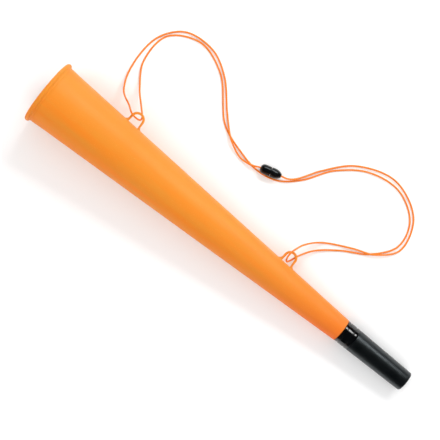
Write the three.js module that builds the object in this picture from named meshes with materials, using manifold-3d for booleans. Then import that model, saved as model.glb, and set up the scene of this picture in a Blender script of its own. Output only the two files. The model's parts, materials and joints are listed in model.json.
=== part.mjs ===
// A long stadium blow horn with a pull-off mouthpiece, a reed unit and a neck lanyard.
// Millimetres, +Z up. The horn lies on its side: the bell's bead and the mouth end touch z = 0.
// The origin is on that surface, below the middle of the horn.
// The horn itself is drawn along its own axis, bell face at x = 0 and mouth end at x = LENGTH,
// with the lugs towards +Y, and is then tipped as one group so that it rests on both ends.
import * as THREE from "three";
import { mergeVertices } from "three/addons/utils/BufferGeometryUtils.js";
import Module from "manifold-3d";

const wasm = await Module();
wasm.setup();

// General
const GAP = 0.3; // clearance between neighbouring pieces
const EDGE = 0.3; // small chamfer on turned edges
const CUT_MARGIN = 5; // how far a cutting solid runs past what it cuts
const ROUND_SIDES = 64;
const SMALL_SIDES = 32;

// Horn cone
const LENGTH = 368;
const WALL = 1.5;
const BEAD_RADIUS = 1.9; // section of the rolled rim
const RIM_RADIUS = 26.3; // to the middle of the rolled rim
const NECK_END = 302;
const NECK_RADIUS = 9.85;
const TAPER = 0.0541; // radius gained per millimetre towards the bell
const FLARE = 0.35; // extra radius right behind the rim
const FLARE_LENGTH = 16;
const FLARE_STEPS = 4;
const NECK_SOCKET_DEPTH = 16;
const NECK_SOCKET_RADIUS = 8.3;
const NECK_SHOULDER = 3; // length of the slope between the socket and the cone's inside

// Lugs that the lanyard runs through
const LUG_THICKNESS = 2.6;
const LUG_STRAP = 1.95;
const LUG_FOOT_SPREAD = 0.6; // the eye is this much wider on each side at its foot
const LUG_FILLET = 3;
const LUG_ROOT = 1.5; // how far the blank reaches into the cone before it is trimmed
const FRONT_LUG = { x: 69.8, y: 27.7, radius: 6.1 };
const REAR_LUG = { x: 233.8, y: 19.0, radius: 5.7 };

// Neck collar, which also carries the reed unit
const COLLAR_RADIUS = 9.66;
const COLLAR_END = 314;
const COLLAR_GROOVES = [304.9, 310.9];
const GROOVE_DEPTH = 0.5;
const GROOVE_HALF_WIDTH = 0.4;
const NECK_SPIGOT_START = 288;
const NECK_SPIGOT_BORE = 6.9;
const TUBE_SPIGOT_END = 326;
const TUBE_SPIGOT_RADIUS = 7.2;
const REED_SEAT_RADIUS = 5.2;
const REED_SEAT_START = 305.7;
const THROAT_RADIUS = 3.6;

// Mouthpiece tube
const TUBE_START_RADIUS = 9.5;
const TUBE_END_RADIUS = 8.45;
const TUBE_BORE = 6.5;
const TUBE_EDGE = 0.9;
const TUBE_BORE_START = 328.5;

// Reed unit: a shallot with a flat open face, the tongue that beats on it, and the clamp ring
const SHALLOT_RADIUS = 4.9;
const SHALLOT_BORE = 3.2;
const SHALLOT_START = 306;
const SHALLOT_END = 354;
const SHALLOT_TIP = 2.5; // thickness of its closed end
const SHALLOT_CHAMFER = 1;
const FLAT_START = 326.3;
const FLAT_HEIGHT = 2.2;
const TONGUE_THICKNESS = 0.5;
const TONGUE_WIDTH = 7;
const TONGUE_START = 327.3;
const TONGUE_BEND = 333.5;
const TONGUE_END = 351.5;
const TONGUE_LIFT = 0.6; // height of the free end over the root
const TONGUE_STEPS = 6;
const CLAMP_START = 327.6;
const CLAMP_END = 332.6;
const CLAMP_RADIUS = 6.2;

// Lanyard
const CORD_DIAMETER = 1.5;
const CORD_REST = 0.76; // height of its middle where it lies on the surface
const CORD_STEPS = 80;
const CORD_SIDES = 8;
const CORD_HOLE = 1.1;
const CLASP_RADIUS = 4;
const CLASP_HALF_LENGTH = 9;
const CLASP_JOINT = 0.45; // depth of the groove where the halves meet
const SOCKET_DOME = 3.4; // length of the socket half's round end
const SOCKET_END_RADIUS = 0.8; // centre of that rounding, from the axis
const SOCKET_WALL = 1.6; // thickness of the closed end
const TAPER_START = 2; // where the plug half starts to narrow
const TAPER_END_RADIUS = 1.6;
const TAPER_POWER = 1.3;
const CLASP_CENTRE = new THREE.Vector3(-5.2, 60.4, CLASP_RADIUS);
const CLASP_TURN = THREE.MathUtils.degToRad(16.4);
const SOCKET_BORE = 2.4;
const SPIGOT_RADIUS = 2.1;
const SPIGOT_LENGTH = 3.8;
const PLUG_BORE = 1.2;
const PLUG_CAVITY = { start: 3.2, end: 6.2, radius: 2.2 };
const KNOT_LENGTH = 2.3;
const SOCKET_KNOT = { start: -7.1, radius: 2.1 };
const PLUG_KNOT = { start: 3.6, radius: 1.9 };
const KNOT_SIDES = 16;

// The lanyard's route, from inside the clasp's socket half, round the left loop, through the front
// lug, back past the clasp, round the right loop, through the rear lug and back to the plug half.
const CORD_ROUTE = [
  [-9.6, 59.1, 4.0],
  [-14.4, 57.7, 4.0],
  [-19.2, 55.4, 3.3],
  [-30.6, 53.8, 1.3],
  [-46.0, 60.2, 2.7],
  [-61.5, 74.2, 1.0],
  [-83.0, 96.8, 0.76],
  [-104.0, 107.6, 0.76],
  [-130.0, 105.0, 0.76],
  [-145.2, 86.6, 0.76],
  [-146.4, 55.0, 0.9],
  [-139.0, 37.2, 6.0],
  [-126.0, 29.8, 20.6],
  [-119.2, 25.9, 27.5],
  [-114.8, 25.2, 26.3],
  [-111.8, 25.8, 24.3],
  [-111.3, 27.9, 22.2],
  [-113.7, 31.0, 21.3],
  [-119.6, 36.4, 16.4],
  [-130.6, 47.0, 3.4],
  [-141.6, 65.0, 0.76],
  [-139.8, 92.6, 0.76],
  [-115.0, 106.0, 0.76],
  [-87.0, 96.6, 0.76],
  [-57.5, 66.6, 0.76],
  [-34.8, 58.0, 0.76],
  [-14.8, 54.5, 0.76],
  [3.1, 58.3, 0.76],
  [18.5, 71.2, 0.76],
  [34.0, 93.4, 0.76],
  [57.0, 110.1, 0.76],
  [85.0, 113.6, 0.76],
  [107.4, 99.8, 0.76],
  [112.6, 78.6, 0.76],
  [99.0, 59.4, 0.76],
  [78.0, 46.2, 0.76],
  [62.0, 33.0, 3.0],
  [53.6, 19.8, 12.3],
  [51.8, 15.0, 12.5],
  [49.8, 12.3, 15.3],
  [48.2, 14.9, 18.1],
  [48.1, 19.8, 18.3],
  [48.9, 23.4, 17.7],
  [52.6, 31.6, 10.6],
  [63.0, 42.2, 1.6],
  [85.0, 54.0, 1.3],
  [101.6, 61.0, 2.8],
  [115.8, 77.0, 0.9],
  [108.0, 103.8, 0.76],
  [78.0, 118.2, 0.76],
  [46.0, 108.0, 0.76],
  [26.0, 86.8, 0.8],
  [14.8, 69.4, 2.6],
  [9.0, 64.55, 4.0],
  [3.4, 62.9, 4.0],
  [-1.9, 61.35, 4.0],
];

// Colours
const ORANGE = new THREE.MeshStandardMaterial({ color: 0xf8933a, roughness: 0.42, metalness: 0 });
const GLOSS_BLACK = new THREE.MeshStandardMaterial({ color: 0x0b0c0d, roughness: 0.15, metalness: 0 });
const MATTE_BLACK = new THREE.MeshStandardMaterial({ color: 0x16191b, roughness: 0.55, metalness: 0 });
const IVORY = new THREE.MeshStandardMaterial({ color: 0xe6e0d0, roughness: 0.4, metalness: 0 });
const CLEAR_GREY = new THREE.MeshStandardMaterial({ color: 0xc8ccd0, roughness: 0.3, metalness: 0 });
const CORD_ORANGE = new THREE.MeshStandardMaterial({ color: 0xf4812c, roughness: 0.7, metalness: 0 });

// A solid turned about the X axis from closed [x, r] points, with its faces pointing out.
function turned(outline, sides = ROUND_SIDES) {
  const ring = [...outline, outline[0]];
  let area = 0;
  for (let i = 1; i < ring.length; i++) area += ring[i - 1][0] * ring[i][1] - ring[i][0] * ring[i - 1][1];
  if (area > 0) ring.reverse();
  const points = ring.map(([x, r]) => new THREE.Vector2(r, x));
  return new THREE.LatheGeometry(points, sides).rotateZ(-Math.PI / 2);
}

// Points on a quarter or half circle or ellipse, angles in degrees.
function arc(x, r, radiusX, radiusR, from, to, steps) {
  const points = [];
  for (let i = 0; i <= steps; i++) {
    const angle = THREE.MathUtils.degToRad(from + ((to - from) * i) / steps);
    points.push([x + radiusX * Math.cos(angle), r + radiusR * Math.sin(angle)]);
  }
  return points;
}

// Solids for cutting and joining.
function solid(geometry) {
  const bare = geometry.clone();
  bare.deleteAttribute("normal");
  bare.deleteAttribute("uv");
  const merged = mergeVertices(bare, 1e-4);
  const mesh = new wasm.Mesh({
    numProp: 3,
    vertProperties: new Float32Array(merged.attributes.position.array),
    triVerts: new Uint32Array(merged.index.array),
  });
  return new wasm.Manifold(mesh);
}

function geometryOf(manifold) {
  const mesh = manifold.getMesh();
  const geometry = new THREE.BufferGeometry();
  geometry.setAttribute("position", new THREE.BufferAttribute(mesh.vertProperties, 3));
  geometry.setIndex(new THREE.BufferAttribute(mesh.triVerts, 1));
  geometry.computeVertexNormals();
  return geometry;
}

function part(name, geometry, material) {
  const mesh = new THREE.Mesh(geometry, material);
  mesh.name = name;
  return mesh;
}

// Outer radius of the cone at x along the axis.
function coneRadius(x) {
  const behindRim = Math.max(0, 1 - (x - 2 * BEAD_RADIUS) / FLARE_LENGTH);
  return NECK_RADIUS + TAPER * (NECK_END - x) + FLARE * behindRim ** 2;
}

// Stations along the flare behind the rim; the taper after them is straight.
function flareStations() {
  const stations = [];
  for (let i = 0; i <= FLARE_STEPS; i++) stations.push(2 * BEAD_RADIUS + (FLARE_LENGTH * i) / FLARE_STEPS);
  return stations;
}

function hornCone() {
  const socketStart = NECK_END - NECK_SOCKET_DEPTH;
  const bead = arc(BEAD_RADIUS, RIM_RADIUS, BEAD_RADIUS, BEAD_RADIUS, 180, 0, 8);
  const outer = [...flareStations(), NECK_END - EDGE].map((x) => [x, coneRadius(x)]);
  const inner = [socketStart - NECK_SHOULDER, ...flareStations().reverse()].map((x) => [x, coneRadius(x) - WALL]);
  return turned([
    ...bead,
    ...outer,
    [NECK_END, NECK_RADIUS - EDGE],
    [NECK_END, NECK_SOCKET_RADIUS],
    [socketStart, NECK_SOCKET_RADIUS],
    ...inner,
    [0, RIM_RADIUS - BEAD_RADIUS],
  ]);
}

// An open arch whose two feet spread into fillets on the cone and follow its surface.
function lug({ x, y, radius }) {
  const inside = radius - LUG_STRAP;
  const left = x - radius - LUG_FILLET;
  const right = x + radius + LUG_FILLET;
  const leftFoot = coneRadius(left);
  const rightFoot = coneRadius(right);
  const below = rightFoot - LUG_ROOT;
  const shape = new THREE.Shape();
  shape.moveTo(left, below);
  shape.lineTo(left, leftFoot);
  shape.absarc(left, leftFoot + LUG_FILLET, LUG_FILLET, -Math.PI / 2, 0, false);
  shape.absarc(x, y, radius, Math.PI, 0, true);
  shape.absarc(right, rightFoot + LUG_FILLET, LUG_FILLET, Math.PI, 1.5 * Math.PI, false);
  shape.lineTo(right, below);
  shape.lineTo(x + inside + LUG_FOOT_SPREAD, below);
  shape.absarc(x, y, inside, 0, Math.PI, false);
  shape.lineTo(x - inside - LUG_FOOT_SPREAD, below);
  const arch = new THREE.ExtrudeGeometry(shape, { depth: LUG_THICKNESS, bevelEnabled: false, curveSegments: 12 });
  arch.translate(0, 0, -LUG_THICKNESS / 2);
  const core = turned([
    [left - CUT_MARGIN, 0],
    [left - CUT_MARGIN, coneRadius(left - CUT_MARGIN) + GAP],
    [right + CUT_MARGIN, coneRadius(right + CUT_MARGIN) + GAP],
    [right + CUT_MARGIN, 0],
  ]);
  return geometryOf(solid(arch).subtract(solid(core)));
}

function neckCollar() {
  const start = NECK_END + GAP;
  const neckSpigotRadius = NECK_SOCKET_RADIUS - GAP;
  const grooves = COLLAR_GROOVES.flatMap((x) => [
    [x - GROOVE_HALF_WIDTH, COLLAR_RADIUS],
    [x - GROOVE_HALF_WIDTH / 2, COLLAR_RADIUS - GROOVE_DEPTH],
    [x + GROOVE_HALF_WIDTH / 2, COLLAR_RADIUS - GROOVE_DEPTH],
    [x + GROOVE_HALF_WIDTH, COLLAR_RADIUS],
  ]);
  return turned([
    [NECK_SPIGOT_START, NECK_SPIGOT_BORE],
    [NECK_SPIGOT_START, neckSpigotRadius - EDGE],
    [NECK_SPIGOT_START + EDGE, neckSpigotRadius],
    [start, neckSpigotRadius],
    [start, COLLAR_RADIUS - EDGE],
    [start + EDGE, COLLAR_RADIUS],
    ...grooves,
    [COLLAR_END - EDGE, COLLAR_RADIUS],
    [COLLAR_END, COLLAR_RADIUS - EDGE],
    [COLLAR_END, TUBE_SPIGOT_RADIUS],
    [TUBE_SPIGOT_END - EDGE, TUBE_SPIGOT_RADIUS],
    [TUBE_SPIGOT_END, TUBE_SPIGOT_RADIUS - EDGE],
    [TUBE_SPIGOT_END, REED_SEAT_RADIUS],
    [REED_SEAT_START, REED_SEAT_RADIUS],
    [REED_SEAT_START, THROAT_RADIUS],
  ]);
}

function mouthpieceTube() {
  const start = COLLAR_END + GAP;
  const socketRadius = TUBE_SPIGOT_RADIUS + GAP;
  return turned([
    [start, TUBE_START_RADIUS - EDGE],
    [start + EDGE, TUBE_START_RADIUS],
    ...arc(LENGTH - TUBE_EDGE, TUBE_END_RADIUS - TUBE_EDGE, TUBE_EDGE, TUBE_EDGE, 90, 0, 4),
    [LENGTH, TUBE_BORE],
    [TUBE_BORE_START, TUBE_BORE],
    [TUBE_BORE_START - (socketRadius - TUBE_BORE), socketRadius],
    [start, socketRadius],
  ]);
}

// A box between two corners, for cutting.
function block(low, high) {
  const size = high.map((value, i) => value - low[i]);
  const box = new THREE.BoxGeometry(...size);
  return box.translate(...low.map((value, i) => value + size[i] / 2));
}

// The shallot is closed at the mouth end, and its bore is open along the flat face.
function reedShallot() {
  const body = turned(
    [
      [SHALLOT_START, SHALLOT_BORE],
      [SHALLOT_START, SHALLOT_RADIUS],
      [SHALLOT_END - SHALLOT_CHAMFER, SHALLOT_RADIUS],
      [SHALLOT_END, SHALLOT_RADIUS - SHALLOT_CHAMFER],
      [SHALLOT_END, 0],
      [SHALLOT_END - SHALLOT_TIP, 0],
      [SHALLOT_END - SHALLOT_TIP, SHALLOT_BORE],
    ],
    SMALL_SIDES,
  );
  const wide = SHALLOT_RADIUS + CUT_MARGIN;
  const above = block([FLAT_START, -wide, FLAT_HEIGHT], [SHALLOT_END + CUT_MARGIN, wide, wide]);
  return geometryOf(solid(body).subtract(solid(above)));
}

// The tongue is flat under the clamp and then curves away from the shallot's face.
function reedTongue() {
  const under = FLAT_HEIGHT + GAP;
  const free = TONGUE_END - TONGUE_BEND;
  const curve = [new THREE.Vector2(TONGUE_START, under)];
  for (let i = 0; i <= TONGUE_STEPS; i++) {
    const share = i / TONGUE_STEPS;
    curve.push(new THREE.Vector2(TONGUE_BEND + free * share, under + TONGUE_LIFT * share ** 2));
  }
  const top = curve.map(({ x, y }) => new THREE.Vector2(x, y + TONGUE_THICKNESS)).reverse();
  const shape = new THREE.Shape([...curve, ...top]);
  const strip = new THREE.ExtrudeGeometry(shape, { depth: TONGUE_WIDTH, bevelEnabled: false });
  return strip.translate(0, 0, -TONGUE_WIDTH / 2).rotateX(Math.PI / 2);
}

// A ring round the shallot with a flat inside over the tongue's root.
function reedClamp() {
  const band = turned(
    [
      [CLAMP_START, 0],
      [CLAMP_START, CLAMP_RADIUS],
      [CLAMP_END, CLAMP_RADIUS],
      [CLAMP_END, 0],
    ],
    SMALL_SIDES,
  );
  const hole = turned(
    [
      [CLAMP_START - CUT_MARGIN, 0],
      [CLAMP_START - CUT_MARGIN, SHALLOT_RADIUS + GAP],
      [CLAMP_END + CUT_MARGIN, SHALLOT_RADIUS + GAP],
      [CLAMP_END + CUT_MARGIN, 0],
    ],
    SMALL_SIDES,
  );
  const ceiling = FLAT_HEIGHT + TONGUE_THICKNESS + 2 * GAP;
  const wide = CLAMP_RADIUS + CUT_MARGIN;
  const above = block([CLAMP_START - wide, -wide, ceiling], [CLAMP_END + wide, wide, wide]);
  return geometryOf(solid(band).subtract(solid(hole).subtract(solid(above))));
}

// The clasp's halves are turned about X, with the joint between them at x = 0.
function claspSocket() {
  const domeRadius = CLASP_RADIUS - SOCKET_END_RADIUS;
  const domeStart = SOCKET_DOME - CLASP_HALF_LENGTH;
  return turned(
    [
      [-CLASP_HALF_LENGTH, CORD_HOLE],
      ...arc(domeStart, SOCKET_END_RADIUS, SOCKET_DOME, domeRadius, 167, 90, 7),
      [-CLASP_JOINT - GAP / 2, CLASP_RADIUS],
      [-GAP / 2, CLASP_RADIUS - CLASP_JOINT],
      [-GAP / 2, SOCKET_BORE],
      [SOCKET_WALL - CLASP_HALF_LENGTH, SOCKET_BORE],
      [SOCKET_WALL - CLASP_HALF_LENGTH, CORD_HOLE],
    ],
    SMALL_SIDES,
  );
}

function claspPlug() {
  const steps = 8;
  const taper = [];
  for (let i = 0; i <= steps; i++) {
    const narrowing = Math.cos(((i / steps) ** TAPER_POWER * Math.PI) / 2);
    taper.push([
      TAPER_START + ((CLASP_HALF_LENGTH - TAPER_START) * i) / steps,
      TAPER_END_RADIUS + (CLASP_RADIUS - TAPER_END_RADIUS) * narrowing,
    ]);
  }
  return turned(
    [
      [-SPIGOT_LENGTH, PLUG_BORE],
      [-SPIGOT_LENGTH, SPIGOT_RADIUS - EDGE],
      [EDGE - SPIGOT_LENGTH, SPIGOT_RADIUS],
      [GAP / 2, SPIGOT_RADIUS],
      [GAP / 2, CLASP_RADIUS - CLASP_JOINT],
      [CLASP_JOINT + GAP / 2, CLASP_RADIUS],
      ...taper,
      [CLASP_HALF_LENGTH, CORD_HOLE],
      [PLUG_CAVITY.end, CORD_HOLE],
      [PLUG_CAVITY.end, PLUG_CAVITY.radius],
      [PLUG_CAVITY.start, PLUG_CAVITY.radius],
      [PLUG_CAVITY.start, PLUG_BORE],
    ],
    SMALL_SIDES,
  );
}

// A stopper knot drawn up round the cord's end.
function knot({ start, radius }) {
  const middle = start + KNOT_LENGTH / 2;
  return turned(arc(middle, CORD_HOLE, KNOT_LENGTH / 2, radius - CORD_HOLE, 180, 0, 6), KNOT_SIDES);
}

// The cord rests on the surface and never sinks into it. The route's own points set the spacing of
// the steps, so that tight turns get short ones.
class RouteCurve extends THREE.CatmullRomCurve3 {
  getPoint(t, target) {
    const point = super.getPoint(t, target);
    point.z = Math.max(point.z, CORD_REST);
    return point;
  }
  getPointAt(u, target) {
    return this.getPoint(u, target);
  }
  getTangentAt(u, target) {
    return this.getTangent(u, target);
  }
}

// A circle's outline gets two corners for each of its curve segments.
function lanyardCord() {
  const route = new RouteCurve(CORD_ROUTE.map((point) => new THREE.Vector3(...point)));
  const section = new THREE.Shape();
  section.absarc(0, 0, CORD_DIAMETER / 2, 0, 2 * Math.PI, false);
  return new THREE.ExtrudeGeometry(section, {
    steps: CORD_STEPS,
    extrudePath: route,
    curveSegments: CORD_SIDES / 2,
    bevelEnabled: false,
  });
}

const horn = new THREE.Group();
horn.add(
  part("horn_cone", hornCone(), ORANGE),
  part("front_lug", lug(FRONT_LUG), ORANGE),
  part("rear_lug", lug(REAR_LUG), ORANGE),
  part("neck_collar", neckCollar(), GLOSS_BLACK),
  part("mouthpiece_tube", mouthpieceTube(), MATTE_BLACK),
  part("reed_shallot", reedShallot(), IVORY),
  part("reed_tongue", reedTongue(), CLEAR_GREY),
  part("reed_clamp", reedClamp(), GLOSS_BLACK),
);

// Tip the horn until the bead and the mouth end stand on the same surface, and centre it.
const beadLow = RIM_RADIUS + BEAD_RADIUS;
horn.rotation.y = Math.atan((beadLow - TUBE_END_RADIUS) / (LENGTH - TUBE_EDGE - BEAD_RADIUS));
const extent = new THREE.Box3().setFromObject(horn, true);
horn.position.set(-(extent.min.x + extent.max.x) / 2, -(extent.min.y + extent.max.y) / 2, -extent.min.z);

const clasp = new THREE.Group();
clasp.add(
  part("clasp_socket", claspSocket(), GLOSS_BLACK),
  part("clasp_plug", claspPlug(), GLOSS_BLACK),
  part("socket_knot", knot(SOCKET_KNOT), CORD_ORANGE),
  part("plug_knot", knot(PLUG_KNOT), CORD_ORANGE),
);
clasp.rotation.z = CLASP_TURN;
clasp.position.copy(CLASP_CENTRE);

const stadiumHorn = new THREE.Group();
stadiumHorn.add(horn, clasp, part("lanyard_cord", lanyardCord(), CORD_ORANGE));

export default stadiumHorn;
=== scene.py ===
# A stadium blow horn lying on its side, with its lanyard beside it: fine meshes, materials, light
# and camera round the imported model. Metres, in the row frame; outlines are in millimetres along
# and out from a piece's own axis.
import json
import math
from itertools import product

import bpy
import numpy as np
from mathutils import Matrix, Vector


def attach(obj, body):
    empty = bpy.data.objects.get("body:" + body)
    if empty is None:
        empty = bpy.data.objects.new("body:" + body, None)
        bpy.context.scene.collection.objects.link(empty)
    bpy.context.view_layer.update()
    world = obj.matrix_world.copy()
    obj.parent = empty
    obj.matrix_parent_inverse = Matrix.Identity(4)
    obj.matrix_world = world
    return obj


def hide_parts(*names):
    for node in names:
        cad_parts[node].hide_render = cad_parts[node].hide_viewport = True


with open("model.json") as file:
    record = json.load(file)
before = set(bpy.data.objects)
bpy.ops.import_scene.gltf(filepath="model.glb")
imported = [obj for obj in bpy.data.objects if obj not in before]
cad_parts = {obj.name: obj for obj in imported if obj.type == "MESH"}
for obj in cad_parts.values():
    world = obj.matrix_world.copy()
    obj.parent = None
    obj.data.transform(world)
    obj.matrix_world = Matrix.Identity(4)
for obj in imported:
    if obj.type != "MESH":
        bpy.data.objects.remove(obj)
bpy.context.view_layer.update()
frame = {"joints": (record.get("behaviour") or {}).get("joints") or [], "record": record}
scene = bpy.context.scene

MM = 0.001
ROUND_SIDES = 160
SMALL_SIDES = 96
CORNER_STEPS = 6
PINHOLE = 0.02  # an outline that is closed on the axis stops this far from it
SHARP_ANGLE = math.radians(32)

# Horn
BEAD_RADIUS = 1.9
BEAD_ARC = (236, 22)  # degrees, from its inside round the front to its outside
BEAD_END = (4.2, 3.95)  # where the wall leaves it, inside and outside
RIM_RADIUS = 26.3
WALL = 1.5
NECK_END = 302.0
NECK_RADIUS = 9.85
TAPER = 0.0541
FLARE = 0.35
FLARE_LENGTH = 16.0
OUT_OF_ROUND = 0.05
OUT_OF_STRAIGHT = 0.03
NECK_SOCKET = (286.0, 8.3)  # where it starts, and its radius
RIM_GROOVE = (5.6, 0.28, 0.9)  # place, depth and half width of the line behind the bead
MOUNT_RADIUS = 25.35  # the rim mount's distance from the axis

# Lugs
LUG_HALF_THICKNESS = 1.3
LUG_STRAP = 1.95
LUG_FILLET = 3.0
LUG_FOOT_SPREAD = 0.6
LUG_FOOT_SINK = (0.9, 1.3)  # how deep a foot's end lies in the wall, outer and inner side
LUG_FOOT_SLANT = 0.7  # how far the inner side lags behind the fillet
LUG_FOOT_SWELL = (0.4, 1.4)  # how much thicker a foot gets, and from what height
FRONT_LUG = {"x": 69.8, "y": 27.7, "radius": 6.1}
REAR_LUG = {"x": 233.8, "y": 19.0, "radius": 5.7}

# Collar and mouthpiece
COLLAR_RADIUS = 9.66
COLLAR_SPAN = (302.3, 314.0)
COLLAR_GROOVES = (304.9, 310.9)
COLLAR_GROOVE = (0.5, 0.55, 0.2)  # depth, and half width at the top and the bottom
NECK_SPIGOT_START = 288.0
NECK_SPIGOT_RADII = (6.9, 8.0)  # inside and outside
TUBE_SPIGOT_END = 326.0
TUBE_SPIGOT_RADIUS = 7.2
REED_SEAT = (305.7, 5.2)  # where it starts, and its radius
THROAT_RADIUS = 3.6
TUBE_SPAN = (314.3, 368.0)
TUBE_RADII = (9.5, 8.45)
TUBE_BORE = 6.5
TUBE_SOCKET = (327.5, 7.5)  # where it ends, and its radius
MOUTH_LENGTH = 8.0  # of the part that narrows in a soft curve

# Reed
SHALLOT_SPAN = (306.0, 354.0)
SHALLOT_RADIUS = 4.9
SHALLOT_BORE = 3.2
SHALLOT_TIP = 2.5
CUT_BEVEL = 0.12
FLAT_START = 326.3
FLAT_HEIGHT = 2.2
CLAMP_SPAN = (327.6, 332.6)
CLAMP_RADIUS = 6.2
CLAMP_RIB = (1.0, 1.2, 0.25)  # width at the top and the foot, and height
TONGUE_SPAN = (327.3, 351.5)
TONGUE_BEND = 333.5
TONGUE_LIFT = 0.6
TONGUE_HALF_WIDTH = 3.5
TONGUE_THICKNESS = 0.5
GAP = 0.3

# Lanyard
CORD_DIAMETER = 0.0015
CORD_REST = 0.00076
CORD_SIDES = 16
CORD_STEP = 0.0003
SPAN_SAMPLES = 48  # between two points of the route
BRAID_PITCH = 0.0068
BRAID_STRANDS = 4  # in each direction
BRAID_DEPTH = 0.00008
CLASP_CENTRE = Vector((-0.0052, 0.0604, 0.004))
CLASP_RADIUS = 4.0
CLASP_HALF_LENGTH = 9.0
CLASP_RECESS = 3.55  # radius of the faces that meet in the middle
CLASP_GAP = 0.15  # from the middle to each of those faces
CLASP_CHAMFER = 0.62
SOCKET_DOME = (-5.6, 0.8)  # centre of the round end's curve
PLUG_TAPER = (2.0, 8.9, 1.7)  # start, end and radius at the end
PLUG_END_RADIUS = 1.45
SPIGOT_LENGTH = 3.8
SPIGOT_RADIUS = 2.1
SPIGOT_BORE = 1.2
SOCKET_CAVITY = (-7.4, 2.4)  # where it starts, and its radius
PLUG_CAVITY = (3.2, 6.2, 2.2)  # start, end and radius
CORD_HOLE = 1.1
SOCKET_KNOT = (-7.1, -4.8, 2.1)  # start, end and outer radius
PLUG_KNOT = (3.6, 5.9, 1.9)
KNOT_CORD = 0.54  # radius of the cord where it is wound tight
KNOT_STEPS = 72
KNOT_OVERLAP = 0.6  # how much of a turn it has beyond those that fit side by side
KNOT_LENGTH = 0.02  # metres of cord in it, for the braid's pattern
CORD_ROUTE = [  # the CAD cord's own points, from the socket half to the plug half
    (-0.0096, 0.0591, 0.0040),
    (-0.0144, 0.0577, 0.0040),
    (-0.0192, 0.0554, 0.0033),
    (-0.0306, 0.0538, 0.0013),
    (-0.0460, 0.0602, 0.0027),
    (-0.0615, 0.0742, 0.0010),
    (-0.0830, 0.0968, 0.00076),
    (-0.1040, 0.1076, 0.00076),
    (-0.1300, 0.1050, 0.00076),
    (-0.1452, 0.0866, 0.00076),
    (-0.1464, 0.0550, 0.0009),
    (-0.1390, 0.0372, 0.0060),
    (-0.1260, 0.0298, 0.0206),
    (-0.1192, 0.0259, 0.0275),
    (-0.1148, 0.0252, 0.0263),
    (-0.1118, 0.0258, 0.0243),
    (-0.1113, 0.0279, 0.0222),
    (-0.1137, 0.0310, 0.0213),
    (-0.1196, 0.0364, 0.0164),
    (-0.1306, 0.0470, 0.0034),
    (-0.1416, 0.0650, 0.00076),
    (-0.1398, 0.0926, 0.00076),
    (-0.1150, 0.1060, 0.00076),
    (-0.0870, 0.0966, 0.00076),
    (-0.0575, 0.0666, 0.00076),
    (-0.0348, 0.0580, 0.00076),
    (-0.0148, 0.0545, 0.00076),
    (0.0031, 0.0583, 0.00076),
    (0.0185, 0.0712, 0.00076),
    (0.0340, 0.0934, 0.00076),
    (0.0570, 0.1101, 0.00076),
    (0.0850, 0.1136, 0.00076),
    (0.1074, 0.0998, 0.00076),
    (0.1126, 0.0786, 0.00076),
    (0.0990, 0.0594, 0.00076),
    (0.0780, 0.0462, 0.00076),
    (0.0620, 0.0330, 0.0030),
    (0.0536, 0.0198, 0.0123),
    (0.0518, 0.0150, 0.0125),
    (0.0498, 0.0123, 0.0153),
    (0.0482, 0.0149, 0.0181),
    (0.0481, 0.0198, 0.0183),
    (0.0489, 0.0234, 0.0177),
    (0.0526, 0.0316, 0.0106),
    (0.0630, 0.0422, 0.0016),
    (0.0850, 0.0540, 0.0013),
    (0.1016, 0.0610, 0.0028),
    (0.1158, 0.0770, 0.0009),
    (0.1080, 0.1038, 0.00076),
    (0.0780, 0.1182, 0.00076),
    (0.0460, 0.1080, 0.00076),
    (0.0260, 0.0868, 0.0008),
    (0.0148, 0.0694, 0.0026),
    (0.0090, 0.06455, 0.0040),
    (0.0034, 0.0629, 0.0040),
    (-0.0019, 0.06135, 0.0040),
]

# Camera
CAMERA_PLACE = Vector((0.005, 0.00445, 1.2))
CAMERA_TILT = math.radians(0.84)
CAMERA_ROLL = math.radians(39.08)
CAMERA_LENS = 121.4

FLOOR_REACH = 2.4


# ---------------------------------------------------------------- camera

def make_camera():
    """Looks almost straight down, rolled so that the horn runs from top left to bottom right."""
    east = Vector((math.cos(CAMERA_TILT), 0, -math.sin(CAMERA_TILT)))
    north = Vector((0, 1, 0))
    back = east.cross(north)
    right = math.cos(CAMERA_ROLL) * east + math.sin(CAMERA_ROLL) * north
    up = back.cross(right)
    data = bpy.data.cameras.new("camera")
    data.lens = CAMERA_LENS
    data.clip_start = 0.01
    data.clip_end = 50
    camera = bpy.data.objects.new("camera", data)
    scene.collection.objects.link(camera)
    turn = Matrix((right, up, back)).transposed().to_4x4()
    camera.matrix_world = Matrix.Translation(CAMERA_PLACE) @ turn
    scene.camera = camera


# ---------------------------------------------------------------- places

def frame_along(axis, origin):
    """A matrix to the row frame from a frame with X along an axis and Y level."""
    along = Vector(axis).normalized()
    level = Vector((0, 0, 1)).cross(along).normalized()
    up = along.cross(level)
    turn = Matrix((along, level, up)).transposed().to_4x4()
    return Matrix.Translation(origin) @ turn


def joint_axis(name):
    return next(j["axis"] for j in frame["joints"] if j["name"] == name)


def horn_frame():
    """The horn's own frame: the origin is the middle of the bell's face, X runs to the mouth."""
    rim = next(m for m in frame["record"]["mounts"] if m["name"] == "bell_rim_face")
    origin = Vector(rim["pos_m"]) + Vector((0, MOUNT_RADIUS * MM, 0))
    return frame_along(joint_axis("neck_slide"), origin)


HORN = horn_frame()
CLASP = frame_along(joint_axis("clasp_slide"), CLASP_CENTRE)


# ---------------------------------------------------------------- mesh tools

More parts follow.
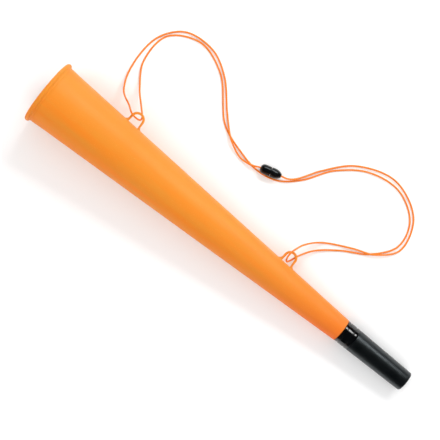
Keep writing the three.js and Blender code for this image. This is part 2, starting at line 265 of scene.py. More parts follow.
def rounded(corners):
    """A closed outline from (x, r) or (x, r, radius) corners: a corner with a radius is an arc."""
    points = []
    for i, corner in enumerate(corners):
        here = Vector(corner[:2])
        radius = corner[2] if len(corner) > 2 else 0
        if not radius:
            points.append(tuple(here))
            continue
        before = (Vector(corners[i - 1][:2]) - here).normalized()
        after = (Vector(corners[(i + 1) % len(corners)][:2]) - here).normalized()
        half = before.angle(after) / 2
        centre = here + (before + after).normalized() * radius / math.sin(half)
        start = here + before * radius / math.tan(half) - centre
        end = here + after * radius / math.tan(half) - centre
        sweep = start.angle(end)
        for step in range(CORNER_STEPS + 1):
            share = step / CORNER_STEPS
            spoke = math.sin((1 - share) * sweep) * start + math.sin(share * sweep) * end
            points.append(tuple(centre + spoke / math.sin(sweep)))
    return points


def around(sides):
    """Even angles round a circle."""
    return np.linspace(0, 2 * math.pi, sides, endpoint=False)


def arc(x, r, radius, start, end, steps):
    """Points on an arc, angles in degrees from the X axis towards larger r."""
    angles = np.radians(np.linspace(start, end, steps + 1))
    return [(x + radius * math.cos(a), r + radius * math.sin(a)) for a in angles]


def add_piece(name, vertices, faces, body, nodes, look):
    """A mesh in the row frame that rides on a body and stands for CAD nodes."""
    mesh = bpy.data.meshes.new(name)
    mesh.from_pydata(np.asarray(vertices).tolist(), [], [list(map(int, f)) for f in faces])
    mesh.materials.append(look)
    mesh.shade_smooth()
    mesh.set_sharp_from_angle(angle=SHARP_ANGLE)
    piece = bpy.data.objects.new(name, mesh)
    scene.collection.objects.link(piece)
    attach(piece, body)
    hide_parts(*nodes)
    return piece


def to_row(points, place):
    """Millimetres in a piece's own frame to metres in the row frame."""
    flat = np.asarray(points, float).reshape(-1, 3) * MM
    matrix = np.array(place)
    return flat @ matrix[:3, :3].T + matrix[:3, 3]


def turned(outline, place, sides=ROUND_SIDES, shape=None):
    """Vertices and faces of a closed outline turned about the X axis.

    shape(x, r, angle) may change the radius, all three being arrays."""
    x, r = np.array(outline, float).T
    # anticlockwise outlines are reversed, so that the faces point outwards
    if np.sum(x * np.roll(r, -1) - np.roll(x, -1) * r) > 0:
        x, r = x[::-1], r[::-1]
    parts = np.broadcast_arrays(x[:, None], r[:, None], around(sides)[None])
    x, r, angle = (a.copy() for a in parts)
    if shape:
        r = shape(x, r, angle)
    points = np.stack([x, r * np.cos(angle), r * np.sin(angle)], axis=-1)
    return to_row(points, place), ring_faces(len(outline), sides, True)


def ring_faces(rings, sides, closed):
    """Quads between rings of points; a closed run joins its last ring to its first."""
    last = rings if closed else rings - 1
    faces = []
    for i in range(last):
        a, b = i * sides, (i + 1) % rings * sides
        for j in range(sides):
            k = (j + 1) % sides
            faces.append((a + j, a + k, b + k, b + j))
    return faces


def lofted(rings, place=None):
    """Vertices and faces of an open run of rings with a flat cap at each end."""
    rings = np.asarray(rings, float)
    count, sides = rings.shape[:2]
    faces = ring_faces(count, sides, False)
    faces.append(range(sides - 1, -1, -1))
    faces.append(range((count - 1) * sides, count * sides))
    points = rings.reshape(-1, 3)
    return (to_row(points, place) if place else points), faces


def tube_rings(line, radius, sides):
    """Rings round a line; radius is an array with a row for each ring."""
    tangent = np.gradient(line, axis=0)
    tangent /= np.linalg.norm(tangent, axis=1)[:, None]
    side = np.cross(tangent[0], (0, 0, 1))
    normals = np.empty_like(line)
    for i, t in enumerate(tangent):
        side = side - t * (side @ t)
        side /= np.linalg.norm(side)
        normals[i] = side
    binormals = np.cross(tangent, normals)
    angle = around(sides)
    across = normals[:, None] * np.cos(angle)[None, :, None]
    above = binormals[:, None] * np.sin(angle)[None, :, None]
    reach = np.broadcast_to(radius, (len(line), sides))[..., None]
    return line[:, None] + (across + above) * reach


def superellipse(half_width, half_height, power, sides):
    """A rectangle with round corners, as (width, height) points."""
    c, s = np.cos(around(sides)), np.sin(around(sides))
    width = half_width * np.sign(c) * np.abs(c) ** (2 / power)
    height = half_height * np.sign(s) * np.abs(s) ** (2 / power)
    return np.stack([width, height], axis=1)


def cut(piece, low, high, place):
    """Cuts the box between two corners, in place's millimetres, out of a piece and rounds edges."""
    corners = list(product(*zip(low, high)))
    faces = [(0, 1, 3, 2), (4, 6, 7, 5), (0, 4, 5, 1), (2, 3, 7, 6), (0, 2, 6, 4), (1, 5, 7, 3)]
    mesh = bpy.data.meshes.new("cutter")
    mesh.from_pydata(to_row(corners, place).tolist(), [], faces)
    cutter = bpy.data.objects.new("cutter", mesh)
    scene.collection.objects.link(cutter)
    modifier = piece.modifiers.new("cut", "BOOLEAN")
    modifier.operation = "DIFFERENCE"
    modifier.solver = "EXACT"
    modifier.object = cutter
    bevel = piece.modifiers.new("edges", "BEVEL")
    bevel.width = CUT_BEVEL * MM
    bevel.segments = 3
    bevel.angle_limit = math.radians(50)
    bpy.context.view_layer.update()
    shown = piece.evaluated_get(bpy.context.evaluated_depsgraph_get())
    piece.data = bpy.data.meshes.new_from_object(shown)
    piece.modifiers.clear()
    bpy.data.objects.remove(cutter)
    piece.data.shade_smooth()
    piece.data.set_sharp_from_angle(angle=SHARP_ANGLE)


# ---------------------------------------------------------------- materials

class Look:
    """A material: a Principled shader, and short calls for the nodes that feed it."""

    def __init__(self, name, uniform):
        self.material = bpy.data.materials.new(name)
        self.material.use_nodes = True
        self.tree = self.material.node_tree
        self.tree.nodes.clear()
        self.shader = self.add("ShaderNodeBsdfPrincipled", uniform)
        self.add("ShaderNodeOutputMaterial", {"Surface": self.shader.outputs["BSDF"]})

    def add(self, kind, inputs, **settings):
        """A new node. Each input is a socket to link or a value to set."""
        node = self.tree.nodes.new(kind)
        for key, value in settings.items():
            setattr(node, key, value)
        for key, value in inputs.items():
            self.feed(node.inputs[key], value)
        return node

    def feed(self, socket, value):
        if isinstance(value, bpy.types.NodeSocket):
            self.tree.links.new(value, socket)
        else:
            socket.default_value = value

    def everywhere(self):
        """Coordinates in metres in the row frame."""
        return self.add("ShaderNodeTexCoord", {}).outputs["Object"]

    def along(self, place, stretch=(1, 1, 1)):
        """Coordinates in metres along a piece's own axes; a larger stretch shortens the pattern."""
        own = self.add(
            "ShaderNodeMapping",
            {
                "Vector": self.everywhere(),
                "Location": place.translation,
                "Rotation": place.to_euler(),
            },
            vector_type="TEXTURE",
        ).outputs["Vector"]
        if stretch == (1, 1, 1):
            return own
        scaled = self.add("ShaderNodeVectorMath", {0: own, 1: stretch}, operation="MULTIPLY")
        return scaled.outputs["Vector"]

    def parts(self, where):
        return self.add("ShaderNodeSeparateXYZ", {"Vector": where}).outputs

    def noise(self, where, size, detail=2.0, roughness=0.5):
        """Noise with features of about that many metres."""
        inputs = {"Vector": where, "Scale": 1 / size, "Detail": detail, "Roughness": roughness}
        return self.add("ShaderNodeTexNoise", inputs).outputs["Fac"]

    def ranged(self, value, low, high, to_low=0.0, to_high=1.0):
        inputs = {
            "Value": value,
            "From Min": low,
            "From Max": high,
            "To Min": to_low,
            "To Max": to_high,
        }
        return self.add("ShaderNodeMapRange", inputs, clamp=True).outputs["Result"]

    def maths(self, operation, a, b=0.0):
        return self.add("ShaderNodeMath", {0: a, 1: b}, operation=operation).outputs["Value"]

    def times(self, a, b):
        return self.maths("MULTIPLY", a, b)

    def mixed(self, factor, first, second):
        mix = self.add("ShaderNodeMix", {}, data_type="RGBA")
        factor_in = next(i for i in mix.inputs if i.name == "Factor" and i.type == "VALUE")
        first_in, second_in = (i for i in mix.inputs if i.type == "RGBA")
        self.feed(factor_in, factor)
        self.feed(first_in, first)
        self.feed(second_in, second)
        return next(o for o in mix.outputs if o.type == "RGBA")

    def raised(self, height, distance, strength=1.0, under=None):
        """The normal of a bump of that many metres, on top of the bumps under it."""
        inputs = {"Height": height, "Distance": distance, "Strength": strength}
        if under:
            inputs["Normal"] = under
        return self.add("ShaderNodeBump", inputs).outputs["Normal"]

    def seam(self, across, core, edge):
        """1 on a parting line, 0 away from it; across is the distance to it either way."""
        return self.ranged(self.maths("ABSOLUTE", across), core, edge, 1, 0)

    def finish(self, **sockets):
        for name, value in sockets.items():
            self.feed(self.shader.inputs[name.replace("_", " ")], value)
        return self.material


def horn_look():
    """Satin orange moulding: flow streaks, a deeper neck, a parting line, fine scuffs, and painted
    light that leaves the lugs' side paler.
    """
    look = Look(
        "horn_orange",
        {
            "Specular IOR Level": 0.3,
            "Subsurface Weight": 0.12,
            "Subsurface Radius": (1.0, 0.36, 0.1),
            "Subsurface Scale": 0.003,
        },
    )
    # light is the paler orange of the flow streaks, and also the painted light on the lugs' side
    light = (0.7, 0.268, 0.027, 1)
    deep = (0.82, 0.21, 0.006, 1)
    neck = (0.8, 0.088, 0.002, 1)
    pale = (0.94, 0.38, 0.09, 1)
    own = look.along(HORN)
    x, y, z = look.parts(own)
    streaks = look.noise(look.along(HORN, (0.07, 1, 1)), 0.007, 3)
    clouds = look.noise(own, 0.045, 3)
    specks = look.noise(own, 0.0009)
    scratches = look.noise(look.along(HORN, (0.12, 1, 1)), 0.00035, 1)

    tone = look.mixed(look.ranged(streaks, 0.3, 0.7), light, deep)
    tone = look.mixed(look.ranged(clouds, 0.35, 0.75, 0, 0.6), tone, deep)
    towards_neck = look.maths("POWER", look.ranged(x, 0.12, NECK_END * MM), 2.2)
    tone = look.mixed(look.times(towards_neck, 0.75), tone, neck)
    # painted light: the side of the lugs, which faces the key lamp, is mixed towards the paler
    # orange
    painted_light_towards_lugs = look.ranged(y, -0.016, 0.012, 0, 0.6)
    tone = look.mixed(painted_light_towards_lugs, tone, light)
    tone = look.mixed(look.ranged(specks, 0.64, 0.76, 0, 0.3), tone, pale)
    worn_rim = look.times(look.ranged(x, 0.0008, 0), look.ranged(clouds, 0.4, 0.7))
    tone = look.mixed(look.times(worn_rim, 0.4), tone, pale)

    satin = look.ranged(clouds, 0.3, 0.7, 0.5, 0.57)
    scuffed = look.ranged(scratches, 0.62, 0.74)
    dull = look.maths("ADD", satin, look.times(scuffed, 0.1))

    bump = look.raised(look.seam(z, 0.00006, 0.00016), 0.00006)
    bump = look.raised(look.noise(own, 0.0004, 3), 0.00004, 0.6, bump)
    bump = look.raised(scratches, 0.00005, 0.35, bump)
    bump = look.raised(streaks, 0.0002, 0.25, bump)
    return look.finish(Base_Color=tone, Roughness=dull, Normal=bump)


def collar_look():
    """High-gloss black with faint smears, dust and moulding waves."""
    look = Look(
        "collar_gloss_black",
        {"Specular IOR Level": 0.5, "Coat Weight": 0.35, "Coat Roughness": 0.05},
    )
    black, smeared = (0.0015, 0.0017, 0.002, 1), (0.003, 0.0033, 0.0038, 1)
    dusty = (0.08, 0.08, 0.085, 1)
    own = look.along(HORN)
    smears = look.noise(look.along(HORN, (1, 0.4, 0.4)), 0.003, 4)
    dust = look.ranged(look.noise(own, 0.00035), 0.74, 0.8)
    tone = look.mixed(look.ranged(smears, 0.3, 0.7), black, smeared)
    tone = look.mixed(look.times(dust, 0.25), tone, dusty)
    gloss = look.ranged(smears, 0.35, 0.75, 0.1, 0.2)
    dull = look.maths("ADD", gloss, look.times(dust, 0.3))
    waves = look.raised(look.noise(own, 0.0016), 0.00002, 0.5)
    return look.finish(Base_Color=tone, Roughness=dull, Normal=waves)


def mouthpiece_look():
    """Matte black with a fine spark-eroded texture, handling shine and a worn mouth end."""
    look = Look(
        "mouthpiece_matte_black",
        {"Specular IOR Level": 0.6, "Specular Tint": (0.85, 0.96, 1, 1)},
    )
    black, cloudy = (0.0015, 0.002, 0.0024, 1), (0.003, 0.0037, 0.0042, 1)
    raised, rubbed = (0.008, 0.009, 0.01, 1), (0.03, 0.032, 0.035, 1)
    own = look.along(HORN)
    place = look.parts(own)
    grain = look.noise(own, 0.0003, 3, 0.6)
    clouds = look.noise(own, 0.008, 3)
    worn = look.times(look.ranged(place["X"], 0.3655, 0.3682), look.ranged(grain, 0.35, 0.65))
    tone = look.mixed(look.ranged(clouds, 0.3, 0.7), black, cloudy)
    tone = look.mixed(look.ranged(grain, 0.55, 0.8, 0, 0.4), tone, raised)
    tone = look.mixed(look.times(worn, 0.3), tone, rubbed)
    matte = look.ranged(clouds, 0.3, 0.7, 0.34, 0.42)
    dull = look.maths("SUBTRACT", matte, look.times(worn, 0.12))
    bump = look.raised(look.seam(place["Z"], 0.00005, 0.00014), 0.00005)
    bump = look.raised(grain, 0.00004, 0.6, bump)
    return look.finish(Base_Color=tone, Roughness=dull, Normal=bump)


def clasp_look():
    """Satin black with soft moulding marks and rubbed high spots."""
    look = Look(
        "clasp_satin_black",
        {"Specular IOR Level": 0.38, "Specular Tint": (0.88, 0.97, 1, 1)},
    )
    black, cloudy = (0.0015, 0.0018, 0.002, 1), (0.004, 0.0044, 0.0048, 1)
    rubbed = (0.012, 0.0125, 0.013, 1)
    clouds = look.noise(look.along(CLASP, (0.3, 1, 1)), 0.0016, 3)
    grain = look.noise(look.along(CLASP), 0.00018)
    tone = look.mixed(look.ranged(clouds, 0.3, 0.7), black, cloudy)
    tone = look.mixed(look.ranged(grain, 0.6, 0.8, 0, 0.4), tone, rubbed)
    dull = look.ranged(clouds, 0.3, 0.7, 0.2, 0.3)
    bump = look.raised(grain, 0.00002, 0.5, look.raised(clouds, 0.00006, 0.4))
    return look.finish(Base_Color=tone, Roughness=dull, Normal=bump)


def cord_look():
    """Orange braid: the attribute braid is 1 on top of a strand and 0 between strands, where the
    darker colour is painted shade.
    """
    look = Look(
        "cord_orange",
        {
            "Specular IOR Level": 0.3,
            "Sheen Weight": 0.25,
            "Sheen Roughness": 0.4,
            "Subsurface Weight": 0.08,
            "Subsurface Radius": (1.0, 0.4, 0.15),
            "Subsurface Scale": 0.0008,
        },
    )
    # between is painted shade in the hollows between strands; strand is the cord's own orange
    between, strand = (0.72, 0.14, 0.007, 1), (0.84, 0.24, 0.016, 1)
    handled, fibre = (0.8, 0.195, 0.012, 1), (0.88, 0.32, 0.045, 1)
    where = look.everywhere()
    high = look.add("ShaderNodeAttribute", {}, attribute_name="braid").outputs["Fac"]
    fibres = look.noise(where, 0.00012)
    lengths = look.noise(where, 0.02, 3)
    # painted shade: darker where the braid's height is low, between strands
    tone = look.mixed(look.ranged(high, 0.1, 0.8), between, strand)
    tone = look.mixed(look.ranged(lengths, 0.35, 0.7, 0, 0.35), tone, handled)
    tone = look.mixed(look.ranged(fibres, 0.55, 0.8, 0, 0.35), tone, fibre)
    dull = look.ranged(fibres, 0.3, 0.7, 0.5, 0.68)
    bump = look.raised(fibres, 0.00003, 0.5)
    return look.finish(Base_Color=tone, Roughness=dull, Normal=bump)


def shallot_look():
    """Ivory moulding, yellowed a little and stained where breath reaches it."""
    look = Look(
        "shallot_ivory",
        {"Specular IOR Level": 0.5, "Subsurface Weight": 0.1, "Subsurface Scale": 0.001},
    )
    ivory, yellowed = (0.78, 0.74, 0.62, 1), (0.7, 0.64, 0.49, 1)
    stained = (0.5, 0.4, 0.24, 1)
    own = look.along(HORN)
    clouds = look.noise(own, 0.004, 4)
    tone = look.mixed(look.ranged(clouds, 0.35, 0.7), ivory, yellowed)
    towards_mouth = look.ranged(look.parts(own)["X"], 0.335, 0.355)
    damp = look.times(towards_mouth, look.ranged(clouds, 0.45, 0.65))
    tone = look.mixed(look.times(damp, 0.5), tone, stained)
    dull = look.ranged(clouds, 0.3, 0.7, 0.28, 0.42)
    bump = look.raised(look.noise(own, 0.0003), 0.00002, 0.5)
    return look.finish(Base_Color=tone, Roughness=dull, Normal=bump)


def film_look():
    """Stiff pale polyester sheet with rolling marks along it."""
    look = Look(
        "reed_film_grey",
        {"Specular IOR Level": 0.6, "Coat Weight": 0.2, "Coat Roughness": 0.1},
    )
    grey, pale = (0.56, 0.58, 0.6, 1), (0.64, 0.66, 0.68, 1)
    rolled = look.noise(look.along(HORN, (0.05, 1, 0.05)), 0.0005, 3)
    tone = look.mixed(look.ranged(rolled, 0.3, 0.7), grey, pale)
    dull = look.ranged(rolled, 0.3, 0.7, 0.2, 0.32)
    bump = look.raised(rolled, 0.00001, 0.6)
    return look.finish(Base_Color=tone, Roughness=dull, Normal=bump)


def floor_look():
    """Plain white paper."""
    look = Look("floor_paper", {"Specular IOR Level": 0.1, "Roughness": 0.9})
    clouds = look.noise(look.everywhere(), 0.4)
    white, whiter = (0.95, 0.95, 0.95, 1), (0.97, 0.97, 0.97, 1)
    return look.finish(Base_Color=look.mixed(look.ranged(clouds, 0.3, 0.7), white, whiter))


# ---------------------------------------------------------------- lanyard

def smooth_route(points):
    """A centripetal Catmull-Rom curve through the points, at even steps and never under the floor.

    Returns it, and the length along it at each of its points."""
    points = np.array(points, float)
    padded = np.vstack([2 * points[0] - points[1], points, 2 * points[-1] - points[-2]])
    share = np.linspace(0, 1, SPAN_SAMPLES, endpoint=False)[:, None]
    spans = []
    for p0, p1, p2, p3 in zip(padded, padded[1:], padded[2:], padded[3:]):
        t0, t1, t2 = (math.sqrt(np.linalg.norm(b - a)) for a, b in ((p0, p1), (p1, p2), (p2, p3)))
        m1 = ((p1 - p0) / t0 - (p2 - p0) / (t0 + t1) + (p2 - p1) / t1) * t1
        m2 = ((p2 - p1) / t1 - (p3 - p1) / (t1 + t2) + (p3 - p2) / t2) * t1
        bend = -3 * p1 + 3 * p2 - 2 * m1 - m2
        turn = 2 * p1 - 2 * p2 + m1 + m2
        spans.append(p1 + m1 * share + bend * share**2 + turn * share**3)
    line = np.vstack([*spans, points[-1:]])
    line[:, 2] = np.maximum(line[:, 2], CORD_REST)
    steps = np.linalg.norm(np.diff(line, axis=0), axis=1)
    along = np.concatenate([[0], np.cumsum(steps)])
    even = np.linspace(0, along[-1], round(along[-1] / CORD_STEP) + 1)
    return np.stack([np.interp(even, along, line[:, k]) for k in range(3)], axis=1), even


def braid(along, angle):
    """Height of a tubular braid, 0 to 1: strands both ways round, each over one and under one."""
    turns = angle[None] / (2 * math.pi)
    rise = along[:, None] / BRAID_PITCH
    left = (turns + rise) * BRAID_STRANDS
    right = (turns - rise) * BRAID_STRANDS
    left_across = np.sin(math.pi * (left % 1))
    right_across = np.sin(math.pi * (right % 1))
    left_on_top = (np.floor(left) + np.floor(right)) % 2 == 0
    across = np.where(left_on_top, left_across, right_across)
    dive = np.where(left_on_top, right_across, left_across)
    return across**0.7 * dive**0.3


def keep_braid(piece, height):
    """Stores the braid's height at each vertex, where cord_look reads it."""
    store = piece.data.attributes.new("braid", "FLOAT", "POINT")
    store.data.foreach_set("value", height.astype(np.float32).ravel())


def make_cord(look):
    """The whole cord as one braided tube; returns it and its centreline."""
    line, along = smooth_route(CORD_ROUTE)
    height = braid(along, around(CORD_SIDES))
    radius = CORD_DIAMETER / 2 - BRAID_DEPTH * (1 - height)
    vertices, faces = lofted(tube_rings(line, radius, CORD_SIDES))
    cord = add_piece("lanyard_braid", vertices, faces, "horn", ["lanyard_cord"], look)
    keep_braid(cord, height)
    return cord, line


def make_socket_half(look):
    """The half with a round end."""
    dome_x, dome_r = SOCKET_DOME
    dome = []
    for angle in np.radians(np.linspace(175, 90, 17)):
        x = dome_x + (CLASP_HALF_LENGTH + dome_x) * math.cos(angle)
        dome.append((x, dome_r + (CLASP_RADIUS - dome_r) * math.sin(angle)))
    cavity_start, cavity_radius = SOCKET_CAVITY
    outline = rounded(
        [
            (-CLASP_HALF_LENGTH, CORD_HOLE, 0.12),
            *dome,
            (-CLASP_CHAMFER, CLASP_RADIUS, 0.25),
            (-CLASP_GAP, CLASP_RECESS, 0.12),
            (-CLASP_GAP, cavity_radius, 0.1),
            (cavity_start, cavity_radius, 0.2),
            (cavity_start, CORD_HOLE, 0.1),
        ]
    )
    vertices, faces = turned(outline, CLASP, SMALL_SIDES)
    nodes = ["clasp_socket"]
    return add_piece("clasp_socket_half", vertices, faces, "horn", nodes, look)


def make_plug_half(look):
    """The half that tapers to the cord and carries the spigot."""
    taper_start, taper_end, taper_radius = PLUG_TAPER
    taper = []
    for share in np.linspace(0, 1, 20):
        narrowing = math.cos(share**1.3 * math.pi / 2)
        radius = taper_radius + (CLASP_RADIUS - taper_radius) * narrowing
        taper.append((taper_start + (taper_end - taper_start) * share, radius))
    cavity_start, cavity_end, cavity_radius = PLUG_CAVITY
    outline = rounded(
        [
            (-SPIGOT_LENGTH, SPIGOT_BORE, 0.1),
            (-SPIGOT_LENGTH, SPIGOT_RADIUS, 0.3),
            (CLASP_GAP, SPIGOT_RADIUS, 0.1),
            (CLASP_GAP, CLASP_RECESS, 0.12),
            (CLASP_CHAMFER, CLASP_RADIUS, 0.25),
            *taper,
            (CLASP_HALF_LENGTH, PLUG_END_RADIUS, 0.05),
            (CLASP_HALF_LENGTH, CORD_HOLE, 0.12),
            (cavity_end, CORD_HOLE, 0.1),
            (cavity_end, cavity_radius, 0.1),
            (cavity_start, cavity_radius, 0.1),
            (cavity_start, SPIGOT_BORE, 0.1),
        ]
    )
    vertices, faces = turned(outline, CLASP, SMALL_SIDES)
    nodes = ["clasp_plug"]
    return add_piece("clasp_plug_half", vertices, faces, "clasp_plug", nodes, look)


def make_knot(name, span, body, node, look):
    """A stopper wound from the cord's own end: turns side by side round it."""
    start, end, outer = span
    run = end - start - 2 * KNOT_CORD
    turns = run / (2 * KNOT_CORD) + KNOT_OVERLAP
    share = np.linspace(0, 1, KNOT_STEPS)
    angle = 2 * math.pi * turns * share
    reach = outer - KNOT_CORD
    x = start + KNOT_CORD + run * share
    winding = np.stack([x, reach * np.cos(angle), reach * np.sin(angle)], axis=1)
    narrowed_ends = np.minimum(1, np.minimum(share, 1 - share) * 14 + 0.35)
    radius = (KNOT_CORD * MM * narrowed_ends)[:, None]
    vertices, faces = lofted(tube_rings(to_row(winding, CLASP), radius, CORD_SIDES))
    knot = add_piece(name, vertices, faces, body, [node], look)
    keep_braid(knot, braid(np.linspace(0, KNOT_LENGTH, KNOT_STEPS), around(CORD_SIDES)))
    return knot


def make_lanyard():
    """The cord, the clasp's two halves and the knot inside each half."""
    cord_material, clasp_material = cord_look(), clasp_look()
    cord, line = make_cord(cord_material)
    socket_half = make_socket_half(clasp_material)
    plug_half = make_plug_half(clasp_material)
    socket_knot = make_knot(
        "socket_stopper_knot", SOCKET_KNOT, "horn", "socket_knot", cord_material
    )
    plug_knot = make_knot(
        "plug_stopper_knot", PLUG_KNOT, "clasp_plug", "plug_knot", cord_material
    )


# ---------------------------------------------------------------- horn

def cone_radius(x):
    """The cone's outside, with the flare behind its bead."""
    behind_rim = max(0.0, 1 - (x - 2 * BEAD_RADIUS) / FLARE_LENGTH)
    return NECK_RADIUS + TAPER * (NECK_END - x) + FLARE * behind_rim**2


def horn_outline():
    """Rolled bead, the line behind it, the long taper, the neck socket and back up the inside."""
    bead = arc(BEAD_RADIUS, RIM_RADIUS, BEAD_RADIUS, *BEAD_ARC, 30)
    inside_start, outside_start = BEAD_END
    behind_bead = (outside_start, cone_radius(outside_start) + 0.02, 0.3)
    place, depth, half_width = RIM_GROOVE
    groove = []
    for share in np.linspace(-1, 1, 9):
        x = place + half_width * share
        groove.append((x, cone_radius(x) - depth * (1 + math.cos(math.pi * share)) / 2))
    flare = [(x, cone_radius(x)) for x in np.linspace(place + half_width + 0.8, 22, 10)]
    taper = [(x, cone_radius(x)) for x in np.linspace(28, NECK_END - 2, 44)]
    socket_start, socket_radius = NECK_SOCKET
    neck = [
        (NECK_END, NECK_RADIUS, 0.35),
        (NECK_END, socket_radius, 0.25),
        (socket_start, socket_radius, 0.15),
        (socket_start - 3, cone_radius(socket_start - 3) - WALL, 0.6),
    ]
    inner_places = np.linspace(socket_start - 12, inside_start, 40)
    inside = [(x, cone_radius(x) - WALL) for x in inner_places]
    return rounded([*bead, behind_bead, *groove, *flare, *taper, *neck, *inside])


def horn_waver(x, r, angle):
    """A thin moulding is never quite round or straight, except at the bell's face and the neck."""
    at_bell = np.minimum(1, x / 12)
    at_neck = np.clip((NECK_END - 20 - x) / 60, 0, 1)
    oval = OUT_OF_ROUND * np.cos(2 * angle + 0.6)
    sway = OUT_OF_STRAIGHT * np.sin(x / 31.0) * np.cos(angle - 0.9)
    return r + at_neck * at_bell * (oval + sway)


def make_horn(look):
    vertices, faces = turned(horn_outline(), HORN, shape=horn_waver)
    add_piece("horn_shell", vertices, faces, "horn", ["horn_cone"], look)


def lug_foot(x, y, radius, side):
    """The stations of one foot from its end up, on the side -1 towards the bell or 1 the neck."""
    edge = x + side * (radius + LUG_FILLET)
    surface = cone_radius(edge)
    inner_x = x + side * (radius - LUG_STRAP + LUG_FOOT_SPREAD)
    outer_sink, inner_sink = LUG_FOOT_SINK

    def lean(height):
        return side * LUG_FOOT_SPREAD * (height - surface) / (y - surface)

    stations = [((edge + side * 0.5, surface - outer_sink), (inner_x, surface - inner_sink))]
    for angle in np.radians(np.linspace(-90, 0, 10)):
        height = surface + LUG_FILLET * (1 + math.sin(angle))
        outer = (edge - side * LUG_FILLET * math.cos(angle), height)
        inner = (inner_x - lean(height), height + LUG_FOOT_SLANT * math.sin(angle))
        stations.append((outer, inner))
    for share in (0.4, 0.75):
        height = surface + LUG_FILLET + (y - surface - LUG_FILLET) * share
        stations.append(((x + side * radius, height), (inner_x - lean(height), height)))
    return stations


def lug_stations(x, y, radius):
    """Pairs of outer and inner points round the arch, foot to foot, in the plane of the lugs."""
    arch = []
    for angle in np.radians(np.linspace(180, 0, 37)):
        direction = np.array([math.cos(angle), math.sin(angle)])
        arch.append([(x, y) + radius * direction, (x, y) + (radius - LUG_STRAP) * direction])
    return [*lug_foot(x, y, radius, -1), *arch, *lug_foot(x, y, radius, 1)[::-1]]


def make_lug(name, lug, node, look):
    """An arch swept round its eye; its feet widen into fillets and sink into the cone's wall."""
    swell, swell_height = LUG_FOOT_SWELL
    rings = []
    for outer, inner in np.array(lug_stations(**lug), float):
        middle, half = (outer + inner) / 2, (outer - inner) / 2
        width = np.linalg.norm(half)
        above = max(0.0, middle[1] - cone_radius(middle[0]))
        thickness = LUG_HALF_THICKNESS + swell * max(0.0, 1 - above / swell_height) ** 2
        section = superellipse(width, thickness, 4.5, 32)
        plane = middle + section[:, :1] * (half / width)
        rings.append(np.column_stack([plane, section[:, 1]]))
    vertices, faces = lofted(rings, HORN)
    add_piece(name, vertices, faces, "horn", [node], look)


# ---------------------------------------------------------------- collar and mouthpiece

def make_collar(look):
    """The collar, in one piece with a spigot at each end and the reed's seat."""
    start, end = COLLAR_SPAN
    inside, outside = NECK_SPIGOT_RADII
    depth, top, bottom = COLLAR_GROOVE
    seat_start, seat_radius = REED_SEAT
    corners = [
        (NECK_SPIGOT_START, inside, 0.2),
        (NECK_SPIGOT_START, outside, 0.35),
        (start, outside, 0.1),
        (start, COLLAR_RADIUS, 0.3),
    ]
    for groove in COLLAR_GROOVES:
        corners += [
            (groove - top, COLLAR_RADIUS, 0.2),
            (groove - bottom, COLLAR_RADIUS - depth, 0.15),
            (groove + bottom, COLLAR_RADIUS - depth, 0.15),
            (groove + top, COLLAR_RADIUS, 0.2),
        ]
    corners += [
        (end, COLLAR_RADIUS, 0.3),
        (end, TUBE_SPIGOT_RADIUS, 0.15),
        (TUBE_SPIGOT_END, TUBE_SPIGOT_RADIUS, 0.35),
        (TUBE_SPIGOT_END, seat_radius, 0.2),
        (seat_start, seat_radius, 0.1),
        (seat_start, THROAT_RADIUS, 0.2),
    ]
    vertices, faces = turned(rounded(corners), HORN)
    nodes = ["neck_collar"]
    add_piece("collar_moulding", vertices, faces, "reed_unit", nodes, look)


def make_mouthpiece(look):
    """The tube, with a socket at one end and a soft round mouth at the other."""
    start, end = TUBE_SPAN
    wide, narrow = TUBE_RADII
    socket_end, socket_radius = TUBE_SOCKET
    slope = (wide - narrow) / (end - start)
    corners = [
        (start, wide, 0.3),
        (end - MOUTH_LENGTH, narrow + slope * MOUTH_LENGTH, 6),
        (end, narrow - 0.05, 1.0),
        (end, TUBE_BORE, 0.5),
        (socket_end + 1, TUBE_BORE, 0.3),
        (socket_end, socket_radius, 0.2),
        (start, socket_radius, 0.2),
    ]
    vertices, faces = turned(rounded(corners), HORN)
    name, slot, nodes = "mouthpiece_moulding", "mouthpiece_plastic", ["mouthpiece_tube"]
    add_piece(name, vertices, faces, "mouthpiece", nodes, look)


# ---------------------------------------------------------------- reed

def make_shallot(look):
    """A tube with a closed round tip whose bore lies open along a flat face."""
    start, end = SHALLOT_SPAN
    outline = rounded(
        [
            (end - SHALLOT_TIP, PINHOLE),
            (end - SHALLOT_TIP, SHALLOT_BORE, 0.8),
            (start, SHALLOT_BORE, 0.2),
            (start, SHALLOT_RADIUS, 0.3),
            (end, SHALLOT_RADIUS, 1.2),
            (end, PINHOLE),
        ]
    )
    vertices, faces = turned(outline, HORN, SMALL_SIDES)
    name, slot, nodes = "shallot_moulding", "shallot_plastic", ["reed_shallot"]
    piece = add_piece(name, vertices, faces, "reed_unit", nodes, look)
    well_clear = 9
    cut(
        piece,
        (FLAT_START, -well_clear, FLAT_HEIGHT),
        (end + 4, well_clear, well_clear),
        HORN,
    )


def make_tongue(look):
    """A strip that lies flat under the clamp and curves away from the shallot."""
    start, end = TONGUE_SPAN
    rings = []
    for x in [start, start + 0.1, *np.linspace(start + 0.4, end - 0.4, 40), end - 0.1, end]:
        share = max(0.0, (x - TONGUE_BEND) / (end - TONGUE_BEND))
        trim = 0.12 if x in (start, end) else 0.0
        round_tip = 0.5 * max(0.0, 1 - (end - x) / 1.5) ** 2
        half_width = TONGUE_HALF_WIDTH - trim - round_tip
        section = superellipse(half_width, (TONGUE_THICKNESS - trim) / 2, 6, 40)
        height = FLAT_HEIGHT + GAP + TONGUE_THICKNESS / 2 + TONGUE_LIFT * share**2
        rings.append([(x, w, height + h) for w, h in section])
    vertices, faces = lofted(rings, HORN)
    add_piece("tongue_strip", vertices, faces, "reed", ["reed_tongue"], look)


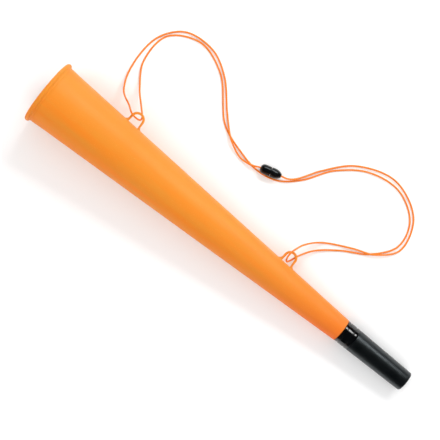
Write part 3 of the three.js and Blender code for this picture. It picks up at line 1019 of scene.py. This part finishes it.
def make_clamp(look):
    """A band round the shallot, flat inside over the tongue's root, with a rib at each edge."""
    start, end = CLAMP_SPAN
    rib_width, rib_foot, rib_height = CLAMP_RIB
    ceiling = FLAT_HEIGHT + TONGUE_THICKNESS + 2 * GAP
    inner = SHALLOT_RADIUS + GAP
    outline = rounded(
        [
            (start, inner, 0.1),
            (start, CLAMP_RADIUS, 0.2),
            (start + rib_width, CLAMP_RADIUS, 0.15),
            (start + rib_foot, CLAMP_RADIUS - rib_height, 0.15),
            (end - rib_foot, CLAMP_RADIUS - rib_height, 0.15),
            (end - rib_width, CLAMP_RADIUS, 0.15),
            (end, CLAMP_RADIUS, 0.2),
            (end, inner, 0.1),
        ]
    )

    def flat_inside(x, r, angle):
        limit = ceiling / np.maximum(np.sin(angle), 1e-6)
        return np.where(r < inner + 0.2, np.minimum(r, np.maximum(limit, 0)), r)

    vertices, faces = turned(outline, HORN, SMALL_SIDES, flat_inside)
    nodes = ["reed_clamp"]
    add_piece("clamp_band", vertices, faces, "reed_unit", nodes, look)


# ---------------------------------------------------------------- floor and light

def make_floor():
    far = FLOOR_REACH
    mesh = bpy.data.meshes.new("floor")
    corners = [(-far, -far, 0), (far, -far, 0), (far, far, 0), (-far, far, 0)]
    mesh.from_pydata(corners, [], [(0, 1, 2, 3)])
    mesh.materials.append(floor_look())
    floor = bpy.data.objects.new("floor", mesh)
    scene.collection.objects.link(floor)


def softbox(name, place, target, size, power):
    """A rectangular light that faces its target: metres and watts."""
    data = bpy.data.lights.new(name, "AREA")
    data.shape = "RECTANGLE"
    data.size, data.size_y = size
    data.energy = power
    light = bpy.data.objects.new(name, data)
    scene.collection.objects.link(light)
    light.location = place
    light.rotation_euler = (Vector(target) - Vector(place)).to_track_quat("-Z", "Y").to_euler()
    return light


def make_room():
    """A surround that is pale at the horizon, darker overhead, and shows in no reflection."""
    world = bpy.data.worlds.new("room")
    world.use_nodes = True
    tree = world.node_tree
    sky = tree.nodes.new("ShaderNodeSeparateXYZ")
    tree.links.new(tree.nodes.new("ShaderNodeTexCoord").outputs["Generated"], sky.inputs["Vector"])
    fall = tree.nodes.new("ShaderNodeMapRange")
    fall.interpolation_type = "SMOOTHSTEP"
    for name, value in {"From Min": 0.1, "From Max": 0.9, "To Min": 0.8, "To Max": 0.03}.items():
        fall.inputs[name].default_value = value
    tree.links.new(sky.outputs["Z"], fall.inputs["Value"])
    tree.links.new(fall.outputs["Result"], tree.nodes["Background"].inputs["Strength"])
    tree.nodes["Background"].inputs["Color"].default_value = (1, 1, 1, 1)
    world.cycles_visibility.glossy = False
    scene.world = world


def make_light():
    """A strip softbox from the lugs' side, and three more that leave no reflections."""
    softbox("key", (0, 0.85, 0.72), (0, 0.03, 0), (0.8, 0.3), 7.4)
    even = [softbox("top", (0, 0, 2.5), (0, 0, 0), (5, 5), 66)]
    for side in (-1, 1):
        even.append(softbox("fill", (1.1 * side, -0.6, 0.9), (0, 0, 0), (1.1, 1.1), 5.5))
    for light in even:
        light.visible_glossy = False
    make_room()
    scene.view_settings.view_transform = "Standard"


make_camera()
make_lanyard()
orange = horn_look()
make_horn(orange)
make_lug("front_lug_arch", FRONT_LUG, "front_lug", orange)
make_lug("rear_lug_arch", REAR_LUG, "rear_lug", orange)
gloss_black = collar_look()
make_collar(gloss_black)
make_mouthpiece(mouthpiece_look())
make_shallot(shallot_look())
make_tongue(film_look())
make_clamp(gloss_black)
make_floor()
make_light()
